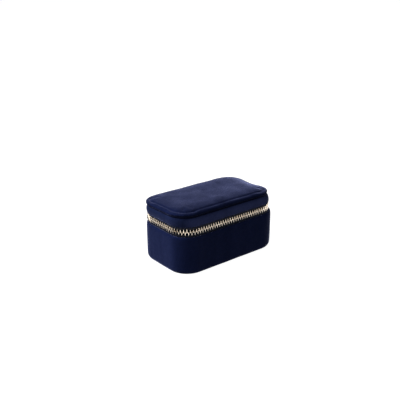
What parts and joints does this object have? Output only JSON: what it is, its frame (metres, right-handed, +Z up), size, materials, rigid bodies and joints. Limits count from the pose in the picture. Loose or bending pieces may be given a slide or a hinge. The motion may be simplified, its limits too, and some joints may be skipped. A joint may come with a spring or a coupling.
{
  "type": "wireless earbuds case",
  "caption": "Soft velvet-covered zip-around case for wireless earbuds, with a padded nest, a hinged lid with a slip pocket, and a metal zip with slider and pull.",
  "frame": {"origin": "middle of the underside, on the surface that the case stands on", "axes": "+X along the case's length towards the side with the zip slider, +Y towards the hinge at the back, +Z up"},
  "size_m": [0.108, 0.061, 0.0531],
  "materials": {
    "velvet": "navy velvet pile",
    "lining": "brushed velour",
    "nest_velour": "flocked foam",
    "satin": "satin",
    "elastic": "ribbed elastic",
    "foam": "soft foam sheet",
    "board": "grey board",
    "zip_tape": "woven tape",
    "gold_metal": "polished pale gold"
  },
  "bodies": {
    "base": {"base_bottom_board": "board", "base_bottom_cover": "velvet", "base_floor_lining": "lining", "base_floor_pad": "foam", "base_wall_board": "board", "base_wall_cover": "velvet", "base_wall_lining": "lining", "earbud_nest": "nest_velour", "hinge_lining": "lining", "hinge_strip": "velvet", "zip_bottom_stop": "gold_metal", "zip_tape_lower": "zip_tape", "zip_teeth_lower": "gold_metal", "zip_top_stop_lower": "gold_metal"},
    "lid": {"lid_pocket": "satin", "lid_top_board": "board", "lid_top_cover": "velvet", "lid_top_foam": "foam", "lid_top_lining": "lining", "lid_wall_board": "board", "lid_wall_cover": "velvet", "lid_wall_lining": "lining", "pocket_elastic": "elastic", "zip_tape_upper": "zip_tape", "zip_teeth_upper": "gold_metal", "zip_top_stop_upper": "gold_metal"},
    "slider": {"slider_body": "gold_metal", "slider_bridge": "gold_metal"},
    "pull": {"pull_tab": "gold_metal"}
  },
  "joints": [
    {"name": "lid_hinge", "type": "hinge", "parent": "base", "child": "lid", "pos_m": [0, 0.0294, 0.037], "axis": [-1, 0, 0], "range_deg": [0, 105], "deforming": ["hinge_strip", "hinge_lining", "zip_teeth_upper"]},
    {"name": "slider_run", "type": "slide", "parent": "base", "child": "slider", "axis": [0, -1, 0], "range_m": [0, 0.018], "deforming": ["zip_teeth_lower"]},
    {"name": "pull_swing", "type": "hinge", "parent": "slider", "child": "pull", "pos_m": [0.05355, 0.009, 0.037], "axis": [0, 0, 1], "range_deg": [0, 175]}
  ]
}
